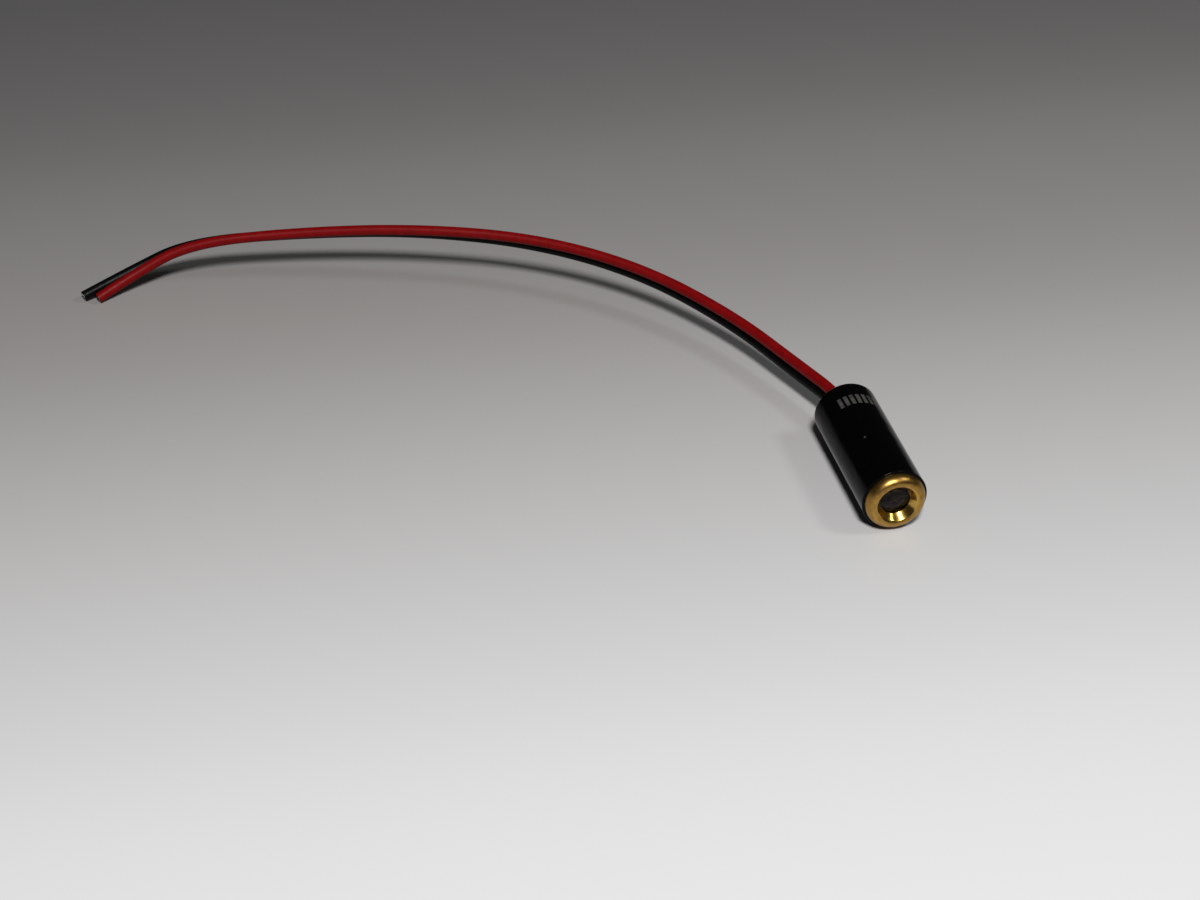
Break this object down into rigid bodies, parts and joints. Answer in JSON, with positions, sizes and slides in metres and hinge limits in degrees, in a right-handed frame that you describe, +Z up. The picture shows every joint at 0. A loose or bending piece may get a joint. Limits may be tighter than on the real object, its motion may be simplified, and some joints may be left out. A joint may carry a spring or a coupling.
{
  "type": "laser diode module",
  "caption": "Small cylindrical laser diode module: black sleeved brass barrel with a rounded brass lens nose, lying on its side with twin red and black supply leads curving away.",
  "frame": {"origin": "on the surface that the module lies on, under the middle of its length, leads not counted", "axes": "+Z up, the beam leaves along -Y on the barrel's axis 3 mm above the surface, +X to the right seen from the nose"},
  "size_m": [0.071, 0.0582, 0.0066],
  "materials": {
    "black_film": "glossy black shrink film",
    "polished_brass": "turned and polished brass",
    "plain_brass": "turned brass",
    "lens_acrylic": "clear moulded lens",
    "retainer_plastic": "black moulded plastic",
    "spring_steel": "bright spring wire",
    "gold_plate": "gold plate",
    "can_metal": "nickel plated can",
    "window_glass": "clear window",
    "die": "polished semiconductor",
    "seal_glass": "dark sealing glass",
    "board_laminate": "green solder mask on laminate",
    "chip_plastic": "black moulding compound",
    "tinned_metal": "tinned metal and solder",
    "resistor_ceramic": "coated ceramic",
    "capacitor_ceramic": "tan ceramic",
    "potting": "black potting",
    "red_insulation": "soft red plastic insulation",
    "black_insulation": "soft black plastic insulation"
  },
  "bodies": {
    "root": {"sleeve": "black_film", "lens_cell": "polished_brass", "lens": "lens_acrylic", "lens_retainer": "retainer_plastic", "focus_spring": "spring_steel", "barrel": "plain_brass", "diode_header": "gold_plate", "diode_cap": "can_metal", "diode_window": "window_glass", "laser_chip": "die", "monitor_sensor": "die", "diode_pins": "gold_plate", "pin_seals": "seal_glass", "driver_board": "board_laminate", "regulator": "chip_plastic", "regulator_legs": "tinned_metal", "chip_resistors": "resistor_ceramic", "chip_capacitor": "capacitor_ceramic", "stripped_ends": "tinned_metal", "solder_joints": "tinned_metal", "rear_plug": "potting", "red_lead": "red_insulation", "black_lead": "black_insulation"}
  },
  "joints": []
}
